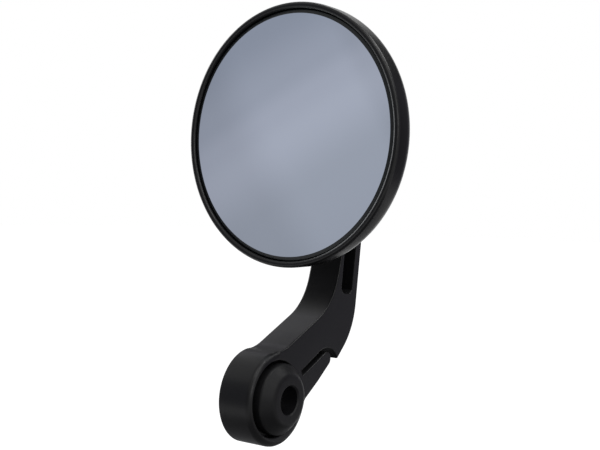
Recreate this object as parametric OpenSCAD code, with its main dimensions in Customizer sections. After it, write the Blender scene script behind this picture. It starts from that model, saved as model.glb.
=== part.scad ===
// Round convex mirror on a short S-shaped arm, for the end of a handlebar. Lengths are in millimetres.
// +X runs along the bar-end bolt towards the handlebar, +Y away from the rider, +Z up.
// The origin is on the bolt's axis, in the plane of the arm's inboard face.

/* [Boss and hub] */
// Diameter of the round boss
boss_d = 29.6; // [28:0.1:34]
// Rounding of the boss's inboard rim
boss_round = 1.2; // [0.6:0.1:1.8]
// Rounding of the boss's outboard rim
boss_back_round = 0.5; // [0.4:0.1:1.8]
// Diameter of the hole for the bar-end bolt
bolt_d = 8.8; // [6.4:0.1:9.2]
// Diameter of the hub at its base
hub_d = 22.2; // [20:0.1:23]
// Diameter of the hub's flat face
hub_face_d = 15.8; // [14:0.1:17]
// Height of the hub's face above the arm's face
hub_rise = 3.9; // [3.5:0.1:5]
// Diameter of the hub's shank
hub_shank_d = 12.4; // [11.6:0.1:13]
// Depth of the hub's seat in the boss
hub_seat = 2.6; // [2:0.1:3.4]
// Diameter of the crescent relief beside the hub
relief_d = 22.8; // [22.4:0.1:23.4]
// Offset of the crescent relief from the bolt's axis
relief_shift = 1.95; // [1:0.05:2.2]
// Diameter of the recess for the bolt's head
head_recess_d = 15.5; // [14.5:0.5:18]
// Depth of the recess for the bolt's head
head_recess = 5; // [3:0.5:6]

/* [Arm] */
// Thickness of the arm
arm_t = 12.4; // [12:0.1:14]
// Slope of the arm's lower half, in degrees
slope = 24.5; // [22:0.5:27]
// Distance of the upper edge's line from the bolt's axis
crest = 12.6; // [12:0.1:13.2]
// Radius between the boss and the upper edge
root_r = 10; // [6:1:14]
// Length along the slope to where the upper edge starts to bend
bend_at = 28.8; // [27:0.2:31]
// Radius of the bend in the upper edge
inner_bend_r = 20; // [18:1:22]
// Slope at which that bend opens out into a wider one
ease_slope = 70; // [66:1:74]
// Radius of the wider bend
ease_r = 60; // [40:5:70]
// Slope of the arm's upper half, in degrees
rise = 82.5; // [80:0.5:85]
// Width of the arm's upper half
upper_w = 12; // [11:0.1:12.6]
// Radius of the bend in the outer edge
outer_bend_r = 23.5; // [21:0.5:26]
// Height where the outer edge becomes straight
outer_bend_z = 27.8; // [25:0.2:28.4]
// Slope of the outer edge where it leaves the notch, in degrees
outer_slope = 42; // [39:1:45]
// Rounding of the corners at the arm's top
top_round = 4; // [2:0.5:5]

/* [Pocket] */
// Width of the long pocket
pocket_w = 6.1; // [4:0.1:7]
// Wall between the pocket and the arm's outer edge
pocket_wall = 4; // [3:0.1:4.4]
// Depth of the pocket
pocket_depth = 9; // [4:0.5:9.5]
// Height of the pocket's foot above the bolt's axis
pocket_foot = 31; // [29:0.5:36]
// Length of the pocket
pocket_len = 40; // [20:1:41]
// Bevel of the pocket's corners
pocket_bevel = 1.5; // [0.5:0.1:2]

/* [Tongue and slit] */
// Width of the slit between the arm and the tongue
slit_w = 2; // [1:0.1:2.4]
// Height of the slit's upper side above the axis, square to the slope
slit_top = 1.9; // [1.5:0.1:2.3]
// Distance of the slit's closed end from the bolt's axis
slit_end = 13.4; // [12.8:0.1:14]
// Length along the slope to the centre of the tongue's tip
tongue_len = 27.6; // [26:0.1:28.4]
// Radius of the tongue's tip
tongue_tip_r = 2.4; // [2:0.05:2.5]
// Angle between the tongue's two sides, in degrees
tongue_taper = 12.3; // [10:0.1:13]
// Radius of the notch round the tongue's tip
notch_r = 8.2; // [7.6:0.1:8.6]

/* [Ball joint] */
// Height of the ball's centre above the bolt's axis
ball_z = 82.4; // [80:0.1:86]
// Distance of the ball's centre behind the bolt's axis
ball_y = 26.2; // [26:0.1:27.6]
// Diameter of the ball
ball_d = 13; // [12:0.1:13.4]
// Diameter of the stud's neck and shank
stud_d = 6; // [5:0.1:6.2]
// Width across the flats of the stud's collar
collar_af = 7.4; // [7:0.1:7.8]
// Thickness of the stud's collar
collar_t = 1.4; // [1:0.1:1.5]
// Width across the flats of the lock nut
nut_af = 10; // [9:0.1:10]
// Thickness of the lock nut
nut_t = 2.8; // [2:0.1:2.9]
// Thickness of the lock washer
washer_t = 1; // [0.8:0.1:1.2]
// Length of the shank inside the arm
shank_len = 8; // [5:0.5:8.5]
// Thickness of the plastic liner round the ball
liner_t = 0.95; // [0.7:0.05:1.1]
// Half angle of the socket's rear opening, in degrees
mouth_angle = 46; // [45:1:48]
// Turn of the head about the upright axis, in degrees
head_pan = -2.5; // [-8:0.5:8]

/* [Head] */
// Outer diameter of the rim
rim_d = 85; // [82:0.2:90]
// Width of the rounded rim beside the glass
rim_w = 2.1; // [1.8:0.1:2.6]
// Distance from the glass back to the ball's centre
head_depth = 16; // [15.5:0.1:17]
// Depth of the rim's straight side
shoulder_top = 3.6; // [1.5:0.1:5]
// Radius of the housing's rear shoulder
shoulder_r = 6.5; // [5:0.5:8]
// Radius of the housing's domed back
dome_r = 60; // [55:1:70]
// Thickness of the housing's wall
wall = 2.4; // [1.8:0.1:2.8]
// Outer diameter of the socket's neck
neck_d = 25; // [24:0.5:27]
// Thickness of the glass
glass_t = 2; // [1.6:0.1:2.2]
// Radius of the mirror's convex face
glass_r = 1200; // [800:50:2000]
// Width of the glass's bevel
bevel_w = 1.1; // [0.6:0.1:1.4]
// Thickness of the foam pad
pad_t = 1.2; // [0.8:0.1:1.5]
// Width of the foam pad's ring
pad_w = 6; // [4:0.5:6.4]
// Number of ribs inside the housing
rib_count = 6; // [3:1:9]

/* [Clamp] */
// Diameter of the plate that squeezes the ball
plate_d = 27.2; // [26.6:0.1:28]
// Thickness of that plate
plate_t = 2.8; // [2.2:0.1:3]
// Diameter of the circle on which the screws stand
screw_circle_d = 20.8; // [20.4:0.1:21.2]
// Number of screws
screw_count = 3; // [3:1:4]
// Diameter of the screws
screw_d = 3; // [2.5:0.1:3]
// Diameter of the screws' heads
screw_head_d = 5.5; // [5:0.1:5.6]
// Height of the screws' heads
screw_head_h = 3; // [2:0.1:3]
// Thickness of the spring washers
spring_t = 0.8; // [0.5:0.1:0.9]

/* [Hidden] */
$fn = 96;

// Clearances: pieces that turn on each other, and pieces that seat in each other
run_gap = 0.05;
fit_gap = 0.03;
glass_gap = 0.2;
// Gap that leaves the plate room to be pulled up
squeeze_gap = 0.2;
// Overshoot of a cut past the face that it opens
over = 1;

boss_r = boss_d / 2;
ball_x = -arm_t / 2;
ball_r = ball_d / 2;
rim_r = rim_d / 2;
bead_r = rim_w / 2;
glass_edge_r = rim_r - rim_w - glass_gap;
liner_in_r = ball_r + run_gap;
liner_out_r = liner_in_r + liner_t;
socket_r = liner_out_r + run_gap;
mouth_z = socket_r * cos(mouth_angle);
neck_z = mouth_z + 0.4;
neck_r = neck_d / 2;

// Direction of a heading in degrees, and the direction to its left
function along(a) = [cos(a), sin(a)];
function leftward(a) = [-sin(a), cos(a)];
// A point given along and square to the lower half's slope
function on_slope(p) = p[0] * along(slope) + p[1] * leftward(slope);
// Points of a bend from p with heading a: radius r and turn are negative when it turns right
function bend(p, a, r, turn, n) =
    let (c = p + r * leftward(a))
    [for (i = [0:n]) c - r * leftward(a + turn * i / n)];
// The upper edge: a fillet on the boss, the slope, a bend that opens out, and the straight upper half
root_reach = sqrt(pow(boss_r + root_r, 2) - pow(crest + root_r, 2));
root_centre = on_slope([root_reach, crest + root_r]);
root_from = atan2(-root_centre[1], -root_centre[0]);
root_steps = 8;
root_arc = [for (i = [0:root_steps])
    root_centre + root_r * along(root_from + (slope - 90 - root_from) * i / root_steps)];
inner_bend = bend(on_slope([bend_at, crest]), slope, inner_bend_r, ease_slope - slope, 18);
ease_bend = bend(inner_bend[18], ease_slope, ease_r, rise - ease_slope, 8);
upper_start = ease_bend[8];
// Shared frame of the straight upper half: a height is reached at this place on the upper edge's line
function inner_at(z) = upper_start + (z - upper_start[1]) / sin(rise) * along(rise);
function across(p, w) = p - w * leftward(rise);

// The notch's edge, round the tongue's tip
notch_turn = 75;
notch_run = 10;
notch_arc = bend(on_slope([tongue_len - 2.6, slit_top]), slope, -notch_r, -notch_turn, 14);
notch_end = notch_arc[len(notch_arc) - 1];

// The tongue's tip, from the slit's lower side round to the tongue's outer side
tongue_top = slit_top - slit_w;
tip_arc = bend(on_slope([tongue_len, tongue_top]), slope, -tongue_tip_r, tongue_taper - 180, 14);
tip_end = tip_arc[len(tip_arc) - 1];
tongue_slope = slope + tongue_taper;

// The outer edge, from the notch upwards
outer_foot = across(inner_at(0), upper_w);
outer_bend_end = outer_foot + outer_bend_z / sin(rise) * along(rise);
outer_back = bend([0, 0], rise, outer_bend_r, outer_slope - rise, 24);
outer_bend = [for (i = [24:-1:0]) outer_bend_end + outer_back[i]];
outer_start = outer_bend[0] - 0.8 * notch_run * along(outer_slope);

top_z = ball_z + 7.5;
seat_half = 6.3;
function corner(p, a, turn, r) =
    bend(p - r * tan(turn / 2) * along(a), a, r, turn, 8);
outer_top = corner(across(inner_at(top_z), upper_w), rise, 180 - rise, top_round);
// The flat that carries the stud's washer stands upright in the slanted edge
stud_seat_y = inner_at(ball_z)[0] + 0.8;
inner_top = concat(
    corner([stud_seat_y, top_z], 180, 90, top_round - 1.5),
    [[stud_seat_y, ball_z - seat_half], inner_at(ball_z - seat_half - 1.5)]
);

// The arm and the tongue together: the slit and the notch are cut out of them
arm_outline = concat(
    [tip_end - 0.7 * tongue_len * along(tongue_slope), tip_end + tongue_tip_r * along(tongue_slope), outer_start],
    outer_bend,
    outer_top,
    inner_top,
    [for (i = [8:-1:1]) ease_bend[i]],
    [for (i = [18:-1:0]) inner_bend[i]],
    [for (i = [root_steps:-1:1]) root_arc[i]],
    [root_arc[0] * 0.97, boss_r * [-0.3, 0.55]]
);
slit_outline = concat(
    [on_slope([slit_end, slit_top])],
    notch_arc,
    [notch_end + notch_run * along(slope - notch_turn), tip_end - 3 * tongue_tip_r * leftward(tongue_slope)],
    [for (i = [len(tip_arc) - 2:-1:0]) tip_arc[i]],
    [on_slope([slit_end, tongue_top])]
);

// An outline in the Y-Z plane as a plate as thick as the arm, and e thicker on each side
module plate(outline, e = 0) {
    translate([-arm_t - e, 0, 0])
        rotate([90, 0, 90])
            linear_extrude(arm_t + 2 * e)
                polygon(outline);
}

// A solid of revolution about the bolt's axis, from a profile given as radius and X
module about_bolt() {
    rotate([0, 90, 0]) rotate_extrude() children();
}

module boss_body() {
    about_bolt() {
        difference() {
            translate([0, -arm_t]) square([boss_r, arm_t]);
            translate([boss_r - boss_round, -boss_round]) corner_waste(boss_round);
            translate([boss_r - boss_back_round, -arm_t + boss_back_round])
                mirror([0, 1]) corner_waste(boss_back_round);
        }
    }
}

// What a rounded corner takes away, from the rounding's centre
module corner_waste(r) {
    difference() {
        square(r + over);
        circle(r);
    }
}

// The pocket in the inboard face, with bevelled corners
module pocket_cut() {
    foot = across(inner_at(pocket_foot), upper_w - pocket_wall - pocket_w);
    b = pocket_bevel;
    translate([-pocket_depth, foot[0], foot[1]])
        rotate([rise - 90, 0, 0])
            rotate([90, 0, 90])
                linear_extrude(pocket_depth + over)
                    polygon([[b, 0], [pocket_w - b, 0], [pocket_w, b], [pocket_w, pocket_len - b],
                        [pocket_w - b, pocket_len], [b, pocket_len], [0, pocket_len - b], [0, b]]);
}

collar_y = stud_seat_y - washer_t - nut_t - collar_t;

module arm() {
    color("#26262a")
        difference() {
            union() {
                boss_body();
                plate(arm_outline);
            }
            plate(slit_outline, over);
            pocket_cut();
            // Crescent relief and the hub's seat
            translate([-hub_seat, -relief_shift, 0]) rotate([0, 90, 0]) cylinder(d = relief_d, h = hub_seat + over);
            translate([-hub_seat, 0, 0]) rotate([0, 90, 0]) cylinder(d = hub_d + 2 * fit_gap, h = hub_seat + over);
            // Bore for the hub's shank and recess for the bolt's head
            translate([-arm_t - over, 0, 0]) rotate([0, 90, 0])
                cylinder(d = hub_shank_d + 2 * fit_gap, h = arm_t + over);
            translate([-arm_t - over, 0, 0]) rotate([0, 90, 0])
                cylinder(d = head_recess_d, h = head_recess + over);
            // Hole for the ball stud
            translate([ball_x, stud_seat_y - over, ball_z]) rotate([-90, 0, 0])
                cylinder(d = stud_d + 2 * fit_gap, h = shank_len + over + 0.5);
        }
}

module hub_bush() {
    land = hub_rise - (hub_d - hub_face_d) / 2;
    color("#2b2b2f")
        difference() {
            about_bolt()
                polygon([[0, -arm_t + head_recess], [hub_shank_d / 2, -arm_t + head_recess],
                    [hub_shank_d / 2, -hub_seat], [hub_d / 2, -hub_seat], [hub_d / 2, land],
                    [hub_face_d / 2, hub_rise], [0, hub_rise]]);
            translate([-arm_t, 0, 0]) rotate([0, 90, 0]) cylinder(d = bolt_d, h = arm_t + hub_rise + over);
            translate([hub_rise - 0.5, 0, 0]) rotate([0, 90, 0])
                cylinder(d1 = bolt_d, d2 = bolt_d + 4, h = 2);
        }
}

// Places what is drawn about the stud's axis: Z along +Y, origin at the ball's centre
module at_ball() {
    translate([ball_x, ball_y, ball_z]) rotate([-90, 0, 0]) children();
}

// The same for the head's pieces, which turn with the head
module at_head() {
    translate([ball_x, ball_y, ball_z]) rotate([0, 0, head_pan]) rotate([-90, 0, 0]) children();
}

module ball_stud() {
    flat = ball_r - 0.6;
    color("silver")
        at_ball() {
            difference() {
                union() {
                    sphere(r = ball_r);
                    cylinder(d = stud_d, h = stud_seat_y - ball_y + shank_len);
                }
                translate([0, 0, -flat - 2]) cylinder(r = ball_r, h = 2);
            }
            translate([0, 0, collar_y - ball_y]) cylinder(d = collar_af / cos(30), h = collar_t, $fn = 6);
        }
}

module lock_nut() {
    color("silver")
        at_ball()
            translate([0, 0, stud_seat_y - washer_t - nut_t - ball_y])
                difference() {
                    intersection() {
                        cylinder(d = nut_af / cos(30), h = nut_t, $fn = 6);
                        cylinder(d1 = nut_af * 1.02, d2 = nut_af * 1.6, h = nut_t * 1.6);
                    }
                    translate([0, 0, -over]) cylinder(d = stud_d + 2 * fit_gap, h = nut_t + 2 * over);
                }
}

// A split ring on the Z axis
module split_ring(inner_d, outer_d, h, gap) {
    difference() {
        cylinder(d = outer_d, h = h);
        translate([0, 0, -over]) cylinder(d = inner_d, h = h + 2 * over);
        translate([0, -gap / 2, -over]) cube([outer_d, gap, h + 2 * over]);
    }
}

module lock_washer() {
    color("silver")
        at_ball()
            translate([0, 0, stud_seat_y - washer_t - ball_y])
                split_ring(stud_d + 0.2, nut_af, washer_t, 1);
}

module ball_liner() {
    rear = liner_in_r * cos(mouth_angle);
    front = -(liner_in_r - 0.9);
    color("ivory")
        at_ball()
            difference() {
                sphere(r = liner_out_r);
                sphere(r = liner_in_r);
                translate([0, 0, rear]) cylinder(r = liner_out_r + over, h = liner_out_r);
                translate([0, 0, front - liner_out_r]) cylinder(r = liner_out_r + over, h = liner_out_r);
            }
}

// The housing's profiles give a radius and a depth behind the glass
shoulder_turn = 62;
shoulder_c = [rim_r - shoulder_r, shoulder_top];
shoulder_end = shoulder_c + shoulder_r * along(shoulder_turn);
dome_c = shoulder_end - dome_r * along(shoulder_turn);
seat_s = glass_t + pad_t;
floor_r = glass_edge_r - pad_w;
plate_top = head_depth - (ball_r - 2.3);

function dome_depth(r, thick) = dome_c[1] + sqrt(pow(dome_r - thick, 2) - pow(r - dome_c[0], 2));
function dome_points(r_from, r_to, thick, n) =
    [for (i = [0:n]) let (r = r_from + (r_to - r_from) * i / n) [r, dome_depth(r, thick)]];

module housing_solid() {
    neck_fillet = 3.5;
    root = neck_r + neck_fillet;
    root_s = dome_depth(root, 0);
    rotate_extrude()
        polygon(concat(
            [[0, 0], [rim_r - rim_w, 0]],
            [for (i = [1:11]) [rim_r - bead_r + bead_r * cos(180 + 15 * i), bead_r * sin(180 + 15 * i)]],
            [[rim_r, 0]],
            [for (i = [0:8]) shoulder_c + shoulder_r * along(shoulder_turn * i / 8)],
            dome_points(shoulder_end[0] - 2, root + 0.6, 0, 8),
            [for (i = [0:6]) [root, root_s + neck_fillet] - neck_fillet * [sin(15 * i), cos(15 * i)]],
            [[neck_r, head_depth + neck_z - 0.8], [neck_r - 0.8, head_depth + neck_z],
             [0, head_depth + neck_z]]
        ));
}

module housing_cavity() {
    tower_r = plate_d / 2 + 1.4;
    rotate_extrude()
        polygon(concat(
            [[0, seat_s - over], [floor_r, seat_s - over]],
            dome_points(floor_r, tower_r, wall, 8),
            [[tower_r, plate_top], [0, plate_top]]
        ));
}

module ribs() {
    for (i = [0:rib_count - 1])
        rotate([0, 0, 360 * i / rib_count])
            translate([plate_d / 2 + 0.9, -0.8, seat_s + 0.6])
                cube([floor_r, 1.6, head_depth]);
}

module mirror_housing() {
    color("#1f1f22")
        at_head()
            difference() {
                translate([0, 0, -head_depth]) housing_solid();
                // Recess for the glass and the pad
                translate([0, 0, -head_depth - over]) cylinder(r = rim_r - rim_w, h = seat_s + over);
                difference() {
                    translate([0, 0, -head_depth]) housing_cavity();
                    translate([0, 0, -head_depth]) ribs();
                }
                // Socket, its mouth and the way in for the ball
                sphere(r = socket_r);
                translate([0, 0, plate_top - head_depth - over]) cylinder(r = socket_r, h = head_depth - plate_top + over);
                cylinder(h = 2 * mouth_z, r1 = 0, r2 = 2 * mouth_z * tan(mouth_angle));
                for (i = [0:screw_count - 1])
                    rotate([0, 0, 360 * i / screw_count + 30])
                        translate([screw_circle_d / 2, 0, plate_top - head_depth - over])
                            cylinder(d = screw_d + 2 * fit_gap, h = 6.5);
            }
}

// The glass's convex face lies on a sphere that meets the bevel at depth 0
bevel_in_r = glass_edge_r - bevel_w;
glass_c = sqrt(pow(glass_r, 2) - pow(bevel_in_r, 2));
function glass_depth(r) = glass_c - sqrt(pow(glass_r, 2) - pow(r, 2));

module mirror_glass() {
    steps = 16;
    color("lightsteelblue")
        at_head()
            translate([0, 0, -head_depth])
                rotate_extrude()
                    polygon(concat(
                        [[0, glass_t]],
                        [for (i = [0:steps]) let (r = bevel_in_r * i / steps) [r, glass_depth(r)]],
                        [[glass_edge_r, bevel_w / 2], [glass_edge_r, glass_t]]
                    ));
}

module foam_pad() {
    color("dimgray")
        at_head()
            translate([0, 0, glass_t - head_depth])
                difference() {
                    cylinder(r = glass_edge_r - 0.6, h = pad_t);
                    translate([0, 0, -over]) cylinder(r = glass_edge_r - pad_w - 0.4, h = pad_t + 2 * over);
                }
}

plate_z = plate_top - squeeze_gap - plate_t - head_depth;

module pressure_plate() {
    color("silver")
        at_head()
            difference() {
                translate([0, 0, plate_z]) cylinder(d = plate_d, h = plate_t);
                sphere(r = socket_r);
                translate([0, 0, plate_z - over]) cylinder(r = 2.6, h = plate_t + over);
                for (i = [0:screw_count - 1])
                    rotate([0, 0, 360 * i / screw_count + 30])
                        translate([screw_circle_d / 2, 0, plate_z - over])
                            cylinder(d = screw_d + 0.4, h = plate_t + 2 * over);
            }
}

module plate_screws() {
    color("silver")
        at_head()
            for (i = [0:screw_count - 1])
                rotate([0, 0, 360 * i / screw_count + 30])
                    translate([screw_circle_d / 2, 0, plate_z - spring_t - screw_head_h])
                        difference() {
                            union() {
                                cylinder(d = screw_head_d, h = screw_head_h);
                                cylinder(d = screw_d, h = screw_head_h + spring_t + plate_t + squeeze_gap + 4);
                            }
                            translate([0, 0, -over]) cylinder(d = 2.5 / cos(30), h = over + 1.6, $fn = 6);
                        }
}

module spring_washers() {
    color("silver")
        at_head()
            for (i = [0:screw_count - 1])
                rotate([0, 0, 360 * i / screw_count + 30])
                    translate([screw_circle_d / 2, 0, plate_z - spring_t])
                        split_ring(screw_d + 0.2, screw_head_d, spring_t, 0.6);
}

arm();
hub_bush();
ball_stud();
lock_nut();
lock_washer();
ball_liner();
mirror_housing();
mirror_glass();
foam_pad();
pressure_plate();
plate_screws();
spring_washers();
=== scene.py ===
import math

import bmesh
import bpy
import numpy as np
from mathutils import Matrix, Vector


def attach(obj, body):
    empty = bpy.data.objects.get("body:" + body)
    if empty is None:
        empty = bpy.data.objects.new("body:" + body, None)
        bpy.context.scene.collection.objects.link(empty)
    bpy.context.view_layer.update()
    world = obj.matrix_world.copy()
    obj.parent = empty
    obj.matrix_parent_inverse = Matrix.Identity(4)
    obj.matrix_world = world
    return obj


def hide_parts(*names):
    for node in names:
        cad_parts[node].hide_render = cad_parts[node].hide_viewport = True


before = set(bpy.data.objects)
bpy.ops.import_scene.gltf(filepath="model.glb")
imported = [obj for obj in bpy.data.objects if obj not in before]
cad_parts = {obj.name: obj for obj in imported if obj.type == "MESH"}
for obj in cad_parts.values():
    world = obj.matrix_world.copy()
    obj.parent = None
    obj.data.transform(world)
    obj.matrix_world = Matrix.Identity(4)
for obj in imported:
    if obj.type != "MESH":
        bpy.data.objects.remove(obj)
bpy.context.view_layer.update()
MM = 0.001

# Sizes in millimetres and angles in degrees, the same as the part's source
BOLT_R = 4.4
BOSS_R = 14.8
HUB_R = 11.1
HUB_FACE_R = 7.9
HUB_RISE = 3.9
HUB_SHANK_R = 6.2
ARM_T = 12.4
SLOPE = 24.5
CREST = 12.6
RISE = 82.5
UPPER_W = 12.0
BEND_AT = 28.8
INNER_BEND_R = 20.0
EASE_SLOPE = 70
EASE_R = 60.0
OUTER_BEND_Z = 27.8
OUTER_BEND_R = 23.5
OUTER_SLOPE = 42
TOP_ROUND = 4.0
SLIT_TOP = 1.9
SLIT_W = 2.0
SLIT_END = 13.4
TONGUE_LEN = 27.6
TONGUE_TIP_R = 2.4
TONGUE_TAPER = 12.3
NOTCH_AT = 25.0
NOTCH_R = 8.2
NOTCH_TURN = 75
POCKET_FOOT = 31.0
POCKET_LEN = 40.0
POCKET_DEPTH = 9.0
POCKET_WALL = 4.0
POCKET_W = 6.1
POCKET_BEVEL = 1.5
HEAD_RECESS_R = 7.75
HEAD_RECESS = 5.0
HUB_SEAT = 2.6
BALL = Vector((-6.2, 26.2, 82.4))
TOP_OVER_BALL = 7.5
STUD_SEAT = 0.8
SEAT_HALF = 6.3
STUD_R = 3.0
SHANK_LEN = 8.0
HEAD_PAN = -2.5
HEAD_DEPTH = 16.0
RIM_R = 42.5
RIM_W = 2.1
BEAD_R = RIM_W / 2
SHOULDER_TOP = 3.6
SHOULDER_R = 6.5
SHOULDER_TURN = 62
DOME_R = 60.0
WALL = 2.4
TOWER_R = 15.0
NECK_R = 12.5
NECK_FILLET = 3.5
GLASS_R = 1200.0
GLASS_T = 2.0
GLASS_EDGE_R = RIM_R - RIM_W - 0.2
PAD_T = 1.2
PAD_W = 6.0
MOUTH = 46.0
SOCKET_R = 7.55
FIT_GAP = 0.03
OVER = 1.0

# Sizes that differ a little from the source's, or that it doesn't have
ROOT_R = 16.0
RELIEF_R = 11.7
RELIEF_Y = -1.7
RELIEF_Z = 0.3
POCKET_MOUTH_W = 6.6
BEVEL_W = 1.2
NECK_ROUND = 0.8
# The rim's bead is glossier up to this depth behind the front plane of the glass
BEAD_TO = 0.25
# Edge roundings of the arm, on its inboard and its outboard side
FRONT_ROUND = {"boss": 2.0, "arm": 0.6, "notch": 0.5, "slit": 0.3, "tongue": 0.5}
REAR_ROUND = {"boss": 0.5, "arm": 0.9, "notch": 0.6, "slit": 0.25, "tongue": 0.6}


def along(a):
    return np.array([math.cos(math.radians(a)), math.sin(math.radians(a))])


def leftward(a):
    return np.array([-math.sin(math.radians(a)), math.cos(math.radians(a))])


def on_slope(p):
    return p[0] * along(SLOPE) + p[1] * leftward(SLOPE)


def bend(p, a, r, turn, n):
    c = np.array(p) + r * leftward(a)
    return [c - r * leftward(a + turn * i / n) for i in range(n + 1)]


def arc(c, r, a0, a1, n):
    return [np.array(c) + r * along(a0 + (a1 - a0) * i / n) for i in range(n + 1)]


# The matrix that puts a shape drawn round Z at the ball, facing backwards and turned with the head
HEAD = (Matrix.Translation(BALL * MM) @ Matrix.Rotation(math.radians(HEAD_PAN), 4, "Z")
        @ Matrix.Rotation(math.radians(-90), 4, "X"))
BEHIND_GLASS = HEAD @ Matrix.Translation((0, 0, -HEAD_DEPTH * MM))
STUD = Matrix.Translation(BALL * MM) @ Matrix.Rotation(math.radians(-90), 4, "X")
# Z along +X: a shape drawn round Z stands on the bolt's axis
BOLT = Matrix.Rotation(math.radians(90), 4, "Y")


def link(name, data):
    o = bpy.data.objects.new(name, data)
    bpy.context.scene.collection.objects.link(o)
    return o


def mesh_of(name, bm):
    bmesh.ops.recalc_face_normals(bm, faces=bm.faces)
    me = bpy.data.meshes.new(name)
    bm.to_mesh(me)
    bm.free()
    return me


def smooth(o, degrees):
    o.data.shade_smooth()
    o.data.set_sharp_from_angle(angle=math.radians(degrees))


def lathe(name, profile, matrix, segments, degrees=30):
    """A turned piece from a closed profile of (radius, height) points in mm, round the Z axis of matrix."""
    bm = bmesh.new()
    rings = []
    for r, z in profile:
        if r < 1e-6:
            rings.append([bm.verts.new((0, 0, z * MM))] * segments)
        else:
            rings.append([bm.verts.new((r * MM * math.cos(2 * math.pi * k / segments),
                                        r * MM * math.sin(2 * math.pi * k / segments), z * MM))
                          for k in range(segments)])
    for a, b in zip(rings, rings[1:] + rings[:1]):
        if a[0] is a[1] and b[0] is b[1]:
            continue
        for k in range(segments):
            m = (k + 1) % segments
            corners = []
            for v in (a[k], a[m], b[m], b[k]):
                if v not in corners:
                    corners.append(v)
            bm.faces.new(corners)
    me = mesh_of(name, bm)
    me.transform(matrix)
    o = link(name, me)
    smooth(o, degrees)
    return o


def rounded(points, radii, n=5):
    """The closed profile with each corner rounded to its radius, where that isn't 0."""
    out = []
    for i, p in enumerate(points):
        r = radii[i]
        p = np.array(p, float)
        if r <= 0:
            out.append(tuple(p))
            continue
        a = np.array(points[i - 1], float) - p
        b = np.array(points[(i + 1) % len(points)], float) - p
        a /= np.linalg.norm(a)
        b /= np.linalg.norm(b)
        half = math.acos(max(-1.0, min(1.0, float(a @ b)))) / 2
        reach = r / math.tan(half)
        c = p + (a + b) / np.linalg.norm(a + b) * r / math.sin(half)
        s = p + a * reach - c
        e = p + b * reach - c
        sweep = math.pi - 2 * half
        for k in range(n + 1):
            t = k / n
            v = (math.sin((1 - t) * sweep) * s + math.sin(t * sweep) * e) / math.sin(sweep)
            out.append(tuple(c + v))
    return out


def smoothstep(t):
    t = max(0.0, min(1.0, t))
    return t * t * (3 - 2 * t)


def inset(points, widths):
    """The counterclockwise outline moved inwards by a width at each point."""
    n = len(points)
    out = []
    for i in range(n):
        a = points[i] - points[i - 1]
        b = points[(i + 1) % n] - points[i]
        na = np.array([-a[1], a[0]]) / np.linalg.norm(a)
        nb = np.array([-b[1], b[0]]) / np.linalg.norm(b)
        out.append(points[i] + widths[i] * (na + nb) / (1 + float(na @ nb)))
    return out


def stack(name, levels):
    """A solid through levels, each a list of X values and a list of points in Y and Z, with both ends closed."""
    bm = bmesh.new()
    rings = [[bm.verts.new((x * MM, p[0] * MM, p[1] * MM)) for x, p in zip(xs, points)] for xs, points in levels]
    n = len(rings[0])
    for a, b in zip(rings, rings[1:]):
        for i in range(n):
            m = (i + 1) % n
            bm.faces.new((a[i], b[i], b[m], a[m]))
    bm.faces.new(rings[0])
    bm.faces.new(list(reversed(rings[-1])))
    return link(name, mesh_of(name, bm))


def plate(name, outline, x_back, x_front, r_back, r_front):
    """A plate between two X values from an outline in Y and Z, with its edges rounded at each point."""
    steps = 5
    levels = []
    for k in range(steps + 1):
        a = math.radians(90 * (1 - k / steps))
        levels.append(([x_back + r * (1 - math.cos(math.pi / 2 - a)) for r in r_back],
                       inset(outline, [r * (1 - math.cos(a)) for r in r_back])))
    for k in range(steps + 1):
        a = math.radians(90 * k / steps)
        levels.append(([x_front - r * (1 - math.sin(a)) for r in r_front],
                       inset(outline, [r * (1 - math.cos(a)) for r in r_front])))
    return stack(name, levels)


def prism(name, outline, x0, x1, flare=0.0, shares=None):
    """A straight prism between two X values; near X = 0 it widens like a rounded edge of radius flare, at each
    point by its share of it."""
    steps = 6
    shares = shares or [1.0] * len(outline)
    widths = [(x0, 0.0), (x1, 0.0)]
    if flare:
        widths = [(x0, 0.0)]
        for k in range(steps + 1):
            a = math.radians(90 * k / steps)
            widths.append((-flare * (1 - math.sin(a)), -flare * (1 - math.cos(a))))
        widths.append((x1, -flare))
    return stack(name, [([x] * len(outline), inset(outline, [w * k for k in shares]) if w else outline)
                        for x, w in widths])


def disc(name, radius, x0, x1, y=0.0, z=0.0, flare=0.0):
    """A round prism along X, with its centre at y and z."""
    n = 160
    ring = [np.array([y + radius * math.cos(2 * math.pi * k / n), z + radius * math.sin(2 * math.pi * k / n)])
            for k in range(n)]
    return prism(name, ring, x0, x1, flare=flare)


def cut(o, *cutters):
    """Takes the cutters out of o, and removes them."""
    for c in cutters:
        m = o.modifiers.new("cut", "BOOLEAN")
        m.operation = "DIFFERENCE"
        m.solver = "EXACT"
        m.object = c
    bpy.context.view_layer.update()
    dg = bpy.context.evaluated_depsgraph_get()
    me = bpy.data.meshes.new_from_object(o.evaluated_get(dg))
    o.modifiers.clear()
    o.data = me
    for c in cutters:
        bpy.data.objects.remove(c)


# Arm: one outline with the boss, the S-shaped arm, the notch, the slit and the tongue
inner_bend = bend(on_slope((BEND_AT, CREST)), SLOPE, INNER_BEND_R, EASE_SLOPE - SLOPE, 32)
inner_bend += bend(inner_bend[-1], EASE_SLOPE, EASE_R, RISE - EASE_SLOPE, 12)[1:]


def inner_at(z):
    """Where the upper arm's inner edge is at a height."""
    upper = inner_bend[-1]
    return upper + (z - upper[1]) / math.sin(math.radians(RISE)) * along(RISE)


def across(p, w):
    return p - w * leftward(RISE)


STUD_SEAT_Y = inner_at(BALL.z)[0] + STUD_SEAT


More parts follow.
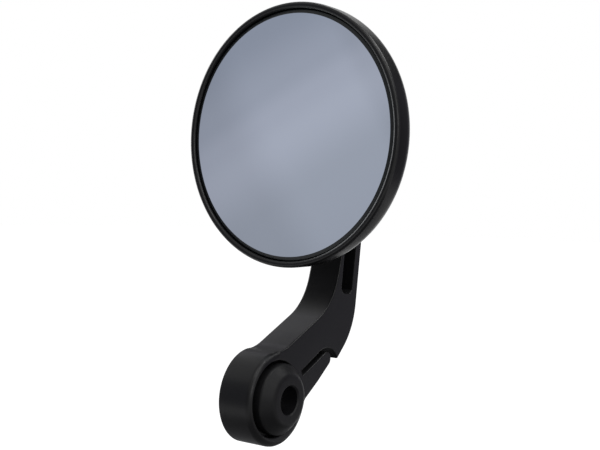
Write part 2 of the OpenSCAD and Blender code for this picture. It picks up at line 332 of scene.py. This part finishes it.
def root_fillet():
    reach = math.sqrt((BOSS_R + ROOT_R) ** 2 - (CREST + ROOT_R) ** 2)
    c = on_slope((reach, CREST + ROOT_R))
    return arc(c, ROOT_R, math.degrees(math.atan2(-c[1], -c[0])), SLOPE - 90, 16)


def arm_outline():
    """The outline's points, and what each belongs to."""
    def corner(p, a, turn, r):
        return bend(p - r * math.tan(math.radians(turn / 2)) * along(a), a, r, turn, 10)

    root = root_fillet()
    notch = bend(on_slope((NOTCH_AT, SLIT_TOP)), SLOPE, -NOTCH_R, -NOTCH_TURN, 24)
    outer_end = across(inner_at(0), UPPER_W) + OUTER_BEND_Z / math.sin(math.radians(RISE)) * along(RISE)
    outer = [outer_end + b for b in reversed(bend((0, 0), RISE, OUTER_BEND_R, OUTER_SLOPE - RISE, 30))]
    # The notch ends where its last tangent meets the outer edge
    d0, d1 = along(SLOPE - NOTCH_TURN), along(OUTER_SLOPE)
    m = np.linalg.solve(np.array([d0, -d1]).T, outer[0] - notch[-1])
    start = notch[-1] + m[0] * d0
    top_z = BALL.z + TOP_OVER_BALL
    outer_top = corner(across(inner_at(top_z), UPPER_W), RISE, 180 - RISE, TOP_ROUND)
    inner_top = corner(np.array((STUD_SEAT_Y, top_z)), 180, 90, TOP_ROUND - 1.5)
    seat_z = BALL.z - SEAT_HALF
    inner_top += [np.array((STUD_SEAT_Y, seat_z)), inner_at(seat_z - 1.5)]
    tip = bend((TONGUE_LEN, SLIT_TOP - SLIT_W), 0, -TONGUE_TIP_R, TONGUE_TAPER - 180, 16)
    # Where the tongue's outer side meets the boss circle
    p0 = on_slope(tip[-1])
    d = -along(SLOPE + TONGUE_TAPER)
    b = float(p0 @ d)
    meet = p0 + (-b - math.sqrt(b * b - (float(p0 @ p0) - BOSS_R ** 2))) * d
    boss_from = math.degrees(math.atan2(root[0][1], root[0][0]))
    boss_to = math.degrees(math.atan2(meet[1], meet[0])) + 360
    parts = [
        ("slit", [on_slope((SLIT_END, SLIT_TOP))]),
        ("notch", notch[:-1]),
        ("arm", [start]),
        ("arm", outer),
        ("arm", outer_top),
        ("arm", inner_top),
        ("arm", list(reversed(inner_bend))),
        ("arm", list(reversed(root))[:-1]),
        ("boss", arc((0, 0), BOSS_R, boss_from, boss_to, 120)),
        ("tongue", [p0 + (meet - p0) * 0.5]),
        ("tongue", [on_slope(p) for p in reversed(tip)]),
        ("slit", [on_slope((SLIT_END, SLIT_TOP - SLIT_W))]),
    ]
    points = [np.array(p, float) for _, pts in parts for p in pts]
    return points, [kind for kind, pts in parts for _ in pts]


def pocket_cutter():
    """The long pocket, whose mouth is rounded less on its right side."""
    foot = across(inner_at(POCKET_FOOT), UPPER_W - POCKET_WALL - POCKET_W)
    u, v = -leftward(RISE), along(RISE)
    b, w, length = POCKET_BEVEL, POCKET_MOUTH_W, POCKET_LEN
    octagon = [(b, 0), (w - b, 0), (w, b), (w, length - b), (w - b, length), (b, length), (0, length - b), (0, b)]
    octagon = [tuple(foot + a * u + c * v) for a, c in octagon]
    outline = [np.array(p) for p in rounded(octagon, [1.2] * 8, 4)]
    shares = [1.0 - 0.65 * smoothstep((float((p - foot) @ u) - 1.0) / (w - 2.0)) for p in outline]
    return prism("pocket_cut", outline, -POCKET_DEPTH, 0.6, flare=0.7, shares=shares)


def make_arm():
    points, kinds = arm_outline()

    def eased(table):
        w = [table[k] for k in kinds]
        for _ in range(3):
            w = [(w[i - 1] + 2 * w[i] + w[(i + 1) % len(w)]) / 4 if kinds[i] == "boss" else w[i]
                 for i in range(len(w))]
        return w

    arm = plate("arm_casting", points, -ARM_T, 0.0, eased(REAR_ROUND), eased(FRONT_ROUND))
    hole_r = STUD_R + FIT_GAP
    hole_from = STUD_SEAT_Y - BALL.y - OVER
    hole_to = STUD_SEAT_Y - BALL.y + SHANK_LEN + 0.5
    cut(arm,
        pocket_cutter(),
        disc("relief", RELIEF_R, -HUB_SEAT, 0.6, y=RELIEF_Y, z=RELIEF_Z, flare=0.6),
        disc("seat", HUB_R + FIT_GAP, -HUB_SEAT - 0.01, OVER),
        disc("bore", HUB_SHANK_R + FIT_GAP, -ARM_T - OVER, OVER),
        disc("back_recess", HEAD_RECESS_R, -ARM_T - OVER, HEAD_RECESS - ARM_T),
        lathe("stud_hole", [(0, hole_from), (hole_r, hole_from), (hole_r, hole_to), (0, hole_to)], STUD, segments=96))
    smooth(arm, 24)
    wn = arm.modifiers.new("normals", "WEIGHTED_NORMAL")
    wn.keep_sharp = True
    wn.weight = 80
    return arm


# Housing, glass and hub: turned forms
def housing_profile():
    shoulder_c = np.array([RIM_R - SHOULDER_R, SHOULDER_TOP])
    end = shoulder_c + SHOULDER_R * along(SHOULDER_TURN)
    dome_c = end - DOME_R * along(SHOULDER_TURN)

    def dome(r, thick=0.0):
        return dome_c[1] + math.sqrt((DOME_R - thick) ** 2 - (r - dome_c[0]) ** 2)

    # The glass sits on its pad, and the pad on the floor between the rim and the dome's hollow
    inner_r = RIM_R - RIM_W
    floor_r = GLASS_EDGE_R - PAD_W
    floor_z = GLASS_T + PAD_T
    out = [(inner_r, floor_z), (inner_r, 0.0)]
    out += [tuple(p) for p in arc((RIM_R - BEAD_R, 0.0), BEAD_R, 180, 360, 18)[1:]]
    out += [tuple(p) for p in arc(shoulder_c, SHOULDER_R, 0, SHOULDER_TURN, 24)]
    root = NECK_R + NECK_FILLET
    r0 = end[0] - 1
    dome_rs = [r0 + (root + 0.4 - r0) * i / 40 for i in range(41)]
    out += [(r, dome(r)) for r in dome_rs]
    fillet_z = dome(root) + NECK_FILLET
    out += [(root - NECK_FILLET * math.sin(math.radians(a)), fillet_z - NECK_FILLET * math.cos(math.radians(a)))
            for a in range(0, 91, 9)]
    neck_top = HEAD_DEPTH + SOCKET_R * math.cos(math.radians(MOUTH)) + 0.4
    round_c = (NECK_R - NECK_ROUND, neck_top - NECK_ROUND)
    out += [(NECK_R, round_c[1])]
    out += [tuple(round_c + NECK_ROUND * along(a)) for a in range(15, 91, 15)]
    # The mouth is a cone from the ball's centre, and the socket a sphere inside it
    mouth_r = (neck_top - HEAD_DEPTH) * math.tan(math.radians(MOUTH))
    out += [(mouth_r + 0.3, neck_top), (mouth_r, neck_top - 0.3)]
    out += [(SOCKET_R * math.sin(math.radians(a)), HEAD_DEPTH + SOCKET_R * math.cos(math.radians(a)))
            for a in np.linspace(MOUTH, 90, 12)]
    tower_z = HEAD_DEPTH - 4.2
    out += [(SOCKET_R, tower_z), (TOWER_R, tower_z)]
    out += [(r, dome(r, WALL)) for r in np.linspace(TOWER_R, floor_r, 16)]
    out += [(floor_r, floor_z)]
    return out


def glass_profile():
    flat_r = GLASS_EDGE_R - BEVEL_W
    sphere = math.sqrt(GLASS_R ** 2 - flat_r ** 2)
    out = [(0, GLASS_T)]
    out += [(r, sphere - math.sqrt(GLASS_R ** 2 - r * r)) for r in np.linspace(0, flat_r, 40)]
    out += [(GLASS_EDGE_R - 0.15, 0.26), (GLASS_EDGE_R, 0.5), (GLASS_EDGE_R, GLASS_T)]
    return out


def hub_profile():
    """The hub's closed profile, from corners with a radius, a place along X and a rounding each."""
    recess_x = HEAD_RECESS - ARM_T
    corners = [(BOLT_R, recess_x, 0.2), (HUB_SHANK_R, recess_x, 0.3), (HUB_SHANK_R, -HUB_SEAT, 0),
               (HUB_R, -HUB_SEAT, 0.3), (HUB_R, 0.7, 1.4), (HUB_FACE_R, HUB_RISE, 2.4),
               (BOLT_R + 0.5, HUB_RISE, 0.25), (BOLT_R, HUB_RISE - 0.5, 0.12)]
    return rounded([c[:2] for c in corners], [c[2] for c in corners], 10)


# Materials
def material(name, color, rough, metallic=0.0, spec=0.5):
    m = bpy.data.materials.new(name)
    m.use_nodes = True
    b = m.node_tree.nodes["Principled BSDF"]
    b.inputs["Base Color"].default_value = (*color, 1)
    b.inputs["Roughness"].default_value = rough
    b.inputs["Metallic"].default_value = metallic
    b.inputs["Specular IOR Level"].default_value = spec
    return m


class Nodes:
    """Short names for building a material's node tree."""

    def __init__(self, m):
        self.tree = m.node_tree
        self.bsdf = m.node_tree.nodes["Principled BSDF"]

    def new(self, kind, **values):
        n = self.tree.nodes.new(kind)
        for k, v in values.items():
            if k in n.inputs:
                n.inputs[k].default_value = v
            else:
                setattr(n, k, v)
        return n

    def link(self, a, b):
        self.tree.links.new(a, b)

    def noise(self, scale, detail=3.0, stretch=None):
        n = self.new("ShaderNodeTexNoise", Scale=scale, Detail=detail, Roughness=0.55)
        src = self.new("ShaderNodeTexCoord").outputs["Object"]
        if stretch:
            mp = self.new("ShaderNodeMapping")
            mp.inputs["Scale"].default_value = stretch
            self.link(src, mp.inputs["Vector"])
            src = mp.outputs["Vector"]
        self.link(src, n.inputs["Vector"])
        return n.outputs["Fac"]

    def rough(self, fac, lo, hi):
        """The roughness runs from lo to hi with a noise."""
        r = self.new("ShaderNodeMapRange")
        r.inputs["From Min"].default_value = 0.3
        r.inputs["From Max"].default_value = 0.7
        r.inputs["To Min"].default_value = lo
        r.inputs["To Max"].default_value = hi
        self.link(fac, r.inputs["Value"])
        self.link(r.outputs["Result"], self.bsdf.inputs["Roughness"])

    def color(self, fac, c0, c1):
        m = self.new("ShaderNodeMix", data_type="RGBA")
        # Sockets 6 and 7 are A and B of the colour mode, and output 2 its result
        m.inputs[6].default_value = (*c0, 1)
        m.inputs[7].default_value = (*c1, 1)
        self.link(fac, m.inputs[0])
        self.link(m.outputs[2], self.bsdf.inputs["Base Color"])

    def bump(self, height, strength, distance):
        n = self.new("ShaderNodeBump", Strength=strength, Distance=distance)
        self.link(height, n.inputs["Height"])
        self.link(n.outputs["Normal"], self.bsdf.inputs["Normal"])


def black_metal(name, color, rough, grain=2600.0, bump=0.25, spec=0.16):
    m = material(name, color, rough, spec=spec)
    n = Nodes(m)
    fine = n.noise(grain, 2.0)
    broad = n.noise(55.0)
    n.color(broad, tuple(c * 0.86 for c in color), tuple(c * 1.18 for c in color))
    n.rough(broad, rough * 0.92, rough * 1.1)
    n.bump(fine, bump, 0.00004)
    return m


def mirror_material():
    m = material("mirror_face", (0.72, 0.78, 0.83), 0.03, metallic=1.0)
    n = Nodes(m)
    n.rough(n.noise(30.0, 2.0), 0.02, 0.045)
    return m


def glass_edge_material():
    """The ground bevel and rim of the glass, which carry no silver."""
    m = material("glass_edge", (0.012, 0.014, 0.015), 0.36, spec=0.22)
    n = Nodes(m)
    n.rough(n.noise(700.0), 0.32, 0.4)
    n.bump(n.noise(2200.0, 2.0), 0.06, 0.00003)
    return m


def steel(name, color, rough):
    m = material(name, color, rough, metallic=1.0)
    n = Nodes(m)
    n.rough(n.noise(900.0, stretch=(1, 1, 6)), rough * 0.8, rough * 1.3)
    return m


def plain(name, color, rough, grain=1500.0, bump=0.2):
    m = material(name, color, rough)
    n = Nodes(m)
    n.color(n.noise(120.0), tuple(c * 0.88 for c in color), color)
    n.bump(n.noise(grain), bump, 0.00005)
    return m


def dress(o, *materials):
    o.data.materials.clear()
    for m in materials:
        o.data.materials.append(m)


def second_slot(o, test):
    """Gives the faces that pass the test the second material."""
    for face in o.data.polygons:
        if test(face):
            face.material_index = 1


HOUSING_BLACK = (0.0035, 0.0035, 0.004)
arm_black = black_metal("arm_black", (0.005, 0.005, 0.0055), 0.33, spec=0.16)
hub_black = black_metal("hub_black", (0.006, 0.006, 0.0065), 0.42, spec=0.11)
housing_black = black_metal("housing_black", HOUSING_BLACK, 0.3, grain=1800.0, bump=0.05, spec=0.09)
mirror = mirror_material()
zinc = steel("zinc_steel", (0.56, 0.56, 0.55), 0.3)

# The notch's wall gets a darker, less glossy copy of the arm's black: painted shade for the shade that falls into the
# notch
notch_c = on_slope((NOTCH_AT, SLIT_TOP - NOTCH_R))


def on_notch(face):
    p = np.array((face.center.y, face.center.z)) / MM
    return (abs(math.hypot(*(p - notch_c)) - NOTCH_R) < 0.35 and abs(face.normal.x) < 0.5
            and float(p @ along(SLOPE)) > NOTCH_AT + 0.5)


arm = make_arm()
dress(arm, arm_black, black_metal("arm_notch_painted_shade", (0.003, 0.003, 0.0035), 0.5, spec=0.04))
second_slot(arm, on_notch)
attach(arm, "arm_body")
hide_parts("arm")

hub = lathe("hub_turned", hub_profile(), BOLT, segments=192, degrees=28)
# The faces of the bore get a darker, duller copy of the hub's black: painted shade for the deep hole
dress(hub, hub_black, black_metal("hub_bore_painted_shade", (0.0025, 0.0025, 0.003), 0.6, spec=0.03))
second_slot(hub, lambda face: math.hypot(face.center.y, face.center.z) < 4.5 * MM)
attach(hub, "arm_body")
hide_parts("hub_bush")

housing = lathe("housing_shell", housing_profile(), BEHIND_GLASS, segments=320, degrees=28)
dress(housing, housing_black, black_metal("rim_bead", HOUSING_BLACK, 0.3, grain=1800.0, bump=0.03, spec=0.2))
to_glass = BEHIND_GLASS.inverted()
second_slot(housing, lambda face: (to_glass @ face.center).z < BEAD_TO * MM)
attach(housing, "head_body")
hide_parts("mirror_housing")

# The glass is silvered on its face only: the bevel, the edge and the back have the second material
glass_at = BEHIND_GLASS.translation
glass_axis = BEHIND_GLASS.to_3x3() @ Vector((0, 0, 1))


def unsilvered(face):
    d = face.center - glass_at
    from_axis = (d - d.dot(glass_axis) * glass_axis).length
    return from_axis > (GLASS_EDGE_R - BEVEL_W) * MM or face.normal.dot(glass_axis) > 0.5


glass = lathe("glass_disc", glass_profile(), BEHIND_GLASS, segments=320, degrees=12)
dress(glass, mirror, glass_edge_material())
second_slot(glass, unsilvered)
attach(glass, "head_body")
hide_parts("mirror_glass")

for name in ("ball_stud", "lock_nut", "lock_washer", "pressure_plate", "plate_screws", "spring_washers"):
    dress(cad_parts[name], zinc)
dress(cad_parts["ball_liner"], plain("nylon", (0.72, 0.69, 0.6), 0.45))
dress(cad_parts["foam_pad"], plain("foam", (0.05, 0.05, 0.05), 0.9, 900.0, 0.6))

# Camera, fitted to the photograph
scene = bpy.context.scene
cam_data = bpy.data.cameras.new("camera")
cam_data.lens = 54.0
cam_data.sensor_width = 36.0
cam_data.sensor_fit = "HORIZONTAL"
cam_data.clip_start = 0.01
cam_data.clip_end = 50
cam = link("camera", cam_data)
RIGHT = (0.81719, 0.57601, 0.02056)
UP = (-0.02681, 0.00235, 0.99964)
BACK = (0.57575, -0.81744, 0.01736)
pose = Matrix((RIGHT, UP, BACK)).transposed().to_4x4()
pose.translation = (0.16376, -0.22364, 0.05878)
cam.matrix_world = pose
scene.camera = cam
scene.view_settings.view_transform = "Standard"


# Studio: a pale floor far below, a white surround and soft lights
def area_light(name, location, target, size, power):
    d = bpy.data.lights.new(name, "AREA")
    d.energy = power
    d.size = size
    o = link(name, d)
    o.location = location
    o.rotation_euler = (Vector(target) - Vector(location)).to_track_quat("-Z", "Y").to_euler()


def grid(name, size, location):
    me = bpy.data.meshes.new(name)
    g = bmesh.new()
    bmesh.ops.create_grid(g, x_segments=1, y_segments=1, size=size / 2)
    g.to_mesh(me)
    g.free()
    o = link(name, me)
    o.location = location
    return o


def seen_white(tree, shader, white):
    """Camera, mirror-like and see-through rays find white where other rays find shader."""
    lp = tree.nodes.new("ShaderNodeLightPath")
    seen = lp.outputs["Is Camera Ray"]
    for ray in ("Is Glossy Ray", "Is Transmission Ray"):
        either = tree.nodes.new("ShaderNodeMath")
        either.operation = "MAXIMUM"
        tree.links.new(seen, either.inputs[0])
        tree.links.new(lp.outputs[ray], either.inputs[1])
        seen = either.outputs[0]
    mix = tree.nodes.new("ShaderNodeMixShader")
    tree.links.new(seen, mix.inputs["Fac"])
    tree.links.new(shader, mix.inputs[1])
    tree.links.new(white, mix.inputs[2])
    return mix.outputs["Shader"]


# The floor shows the object's shadow: its own diffuse light is added to what makes it look white
floor = grid("floor", 30, (0, 0, -0.4))
floor_mat = material("floor_white", (0.85, 0.85, 0.85), 0.9, spec=0.0)
ft = floor_mat.node_tree
floor_shader = ft.nodes["Principled BSDF"].outputs[0]
glow = ft.nodes.new("ShaderNodeEmission")
glow.inputs["Strength"].default_value = 0.8
add = ft.nodes.new("ShaderNodeAddShader")
ft.links.new(floor_shader, add.inputs[0])
ft.links.new(glow.outputs[0], add.inputs[1])
ft.links.new(seen_white(ft, floor_shader, add.outputs[0]), ft.nodes["Material Output"].inputs["Surface"])
dress(floor, floor_mat)

world = bpy.data.worlds.new("world")
scene.world = world
world.use_nodes = True
wt = world.node_tree
soft = wt.nodes["Background"]
soft.inputs["Color"].default_value = (1, 1, 1, 1)
soft.inputs["Strength"].default_value = 0.35
white = wt.nodes.new("ShaderNodeBackground")
white.inputs["Color"].default_value = (1, 1, 1, 1)
white.inputs["Strength"].default_value = 1.0
wt.links.new(seen_white(wt, soft.outputs["Background"], white.outputs["Background"]),
             wt.nodes["World Output"].inputs["Surface"])


def tone(tree, direction, lo, hi, stops):
    """A tone that runs through the stops as the place on a sheet goes from lo to hi along a direction."""
    co = tree.nodes.new("ShaderNodeTexCoord")
    dot = tree.nodes.new("ShaderNodeVectorMath")
    dot.operation = "DOT_PRODUCT"
    dot.inputs[1].default_value = direction
    tree.links.new(co.outputs["Object"], dot.inputs[0])
    r = tree.nodes.new("ShaderNodeMapRange")
    r.inputs["From Min"].default_value = lo
    r.inputs["From Max"].default_value = hi
    tree.links.new(dot.outputs["Value"], r.inputs["Value"])
    ramp = tree.nodes.new("ShaderNodeValToRGB")
    ramp.color_ramp.interpolation = "EASE"
    while len(ramp.color_ramp.elements) < len(stops):
        ramp.color_ramp.elements.new(0.5)
    for el, (at, color) in zip(ramp.color_ramp.elements, stops):
        el.position = at
        el.color = (*color, 1)
    tree.links.new(r.outputs["Result"], ramp.inputs["Fac"])
    return ramp.outputs["Color"]


def card(name, centre, facing, size, color):
    """A sheet beside the set, which the glass or the black surfaces reflect and the camera doesn't see."""
    o = grid(name, size, centre)
    o.visible_camera = False
    o.rotation_euler = (Vector(facing) - Vector(centre)).to_track_quat("Z", "Y").to_euler()
    m = bpy.data.materials.new(name)
    m.use_nodes = True
    t = m.node_tree
    t.nodes.remove(t.nodes["Principled BSDF"])
    e = t.nodes.new("ShaderNodeEmission")
    e.inputs["Color"].default_value = (*color, 1)
    t.links.new(e.outputs[0], t.nodes["Material Output"].inputs["Surface"])
    dress(o, m)
    return t, e


# What the glass reflects: a grey sheet to the left, behind the camera, with a soft lighter band across it that
# fades towards its ends
BAND = [(0.0, (0.40, 0.41, 0.47)), (0.3, (0.42, 0.43, 0.49)), (0.48, (0.50, 0.505, 0.58)),
        (0.56, (0.47, 0.475, 0.55)), (0.64, (0.41, 0.42, 0.49)), (0.82, (0.33, 0.345, 0.41)), (1.0, (0.3, 0.31, 0.37))]
FADE = [(0.0, 0.85), (0.12, 0.91), (0.21, 1.0), (0.56, 1.0), (0.77, 0.86), (1.0, 0.83)]
tree, emission = card("mirror_card", (-1.0, -1.08, 0.2), (0, 0, 0.08), 1.3, (0.4, 0.4, 0.45))
tree.links.new(tone(tree, (0.514, 0.857, 0), -0.42, 0.42, BAND), emission.inputs["Color"])
tree.links.new(tone(tree, (0.857, -0.514, 0), -0.4, 0.3, [(at, (v, v, v)) for at, v in FADE]),
               emission.inputs["Strength"])
# What the flat black faces reflect, to the right of the set
card("right_card", (0.55, 0.75, 0.36), (0, 0, 0.36), 1.25, (0.355, 0.345, 0.4))
# What the undersides reflect
card("low_card", (0.05, 0.1, -0.25), (0.05, 0.1, 0.5), 0.8, (0.28, 0.28, 0.29))
# What the hub's upper side reflects, above and behind
card("back_card", (0.25, 0.85, 0.66), (0, 0, 0), 0.7, (0.1, 0.1, 0.1))
# What the root fillet reflects, low behind on the left
card("root_card", (-0.62, 0.76, 0.38), (0, 0, 0.01), 0.34, (0.2, 0.2, 0.2))
# What the arm's sloping top reflects, high on the left
card("slope_card", (-0.576, 0.56, 0.67), (0, 0, 0), 0.46, (0.4, 0.39, 0.44))
# What the glass's bevel reflects on its right, behind the camera
card("bevel_card", (0.05, -1.55, 0.1), (0, 0, 0.08), 1.0, (0.3, 0.3, 0.32))

# Each lamp's name, place, target, size and power
for lamp in (("top", (-0.12, 0.28, 0.92), (0, 0.02, 0.03), 0.4, 2),
             ("back_left", (-0.6, 0.42, 0.68), (0, 0.0, 0.01), 0.25, 0.15),
             ("left", (-0.9, -0.1, 0.3), (0, 0, 0.05), 0.5, 2.5),
             ("top_right", (0.68, -0.22, 0.68), (0, 0.0, 0.02), 0.35, 1.6),
             ("top_front", (0.3, -0.4, 0.85), (0, 0, 0.02), 0.35, 1.8),
             ("edge", (0.4, 0.46, 0.8), (0, 0.02, 0.03), 0.35, 2.4),
             ("bead", (0.4, 0.1, 0.92), (0, 0.02, 0.06), 0.16, 1.6),
             ("right_front", (0.82, -0.55, 0.32), (0, 0.02, 0.04), 0.3, 1.7)):
    area_light(*lamp)
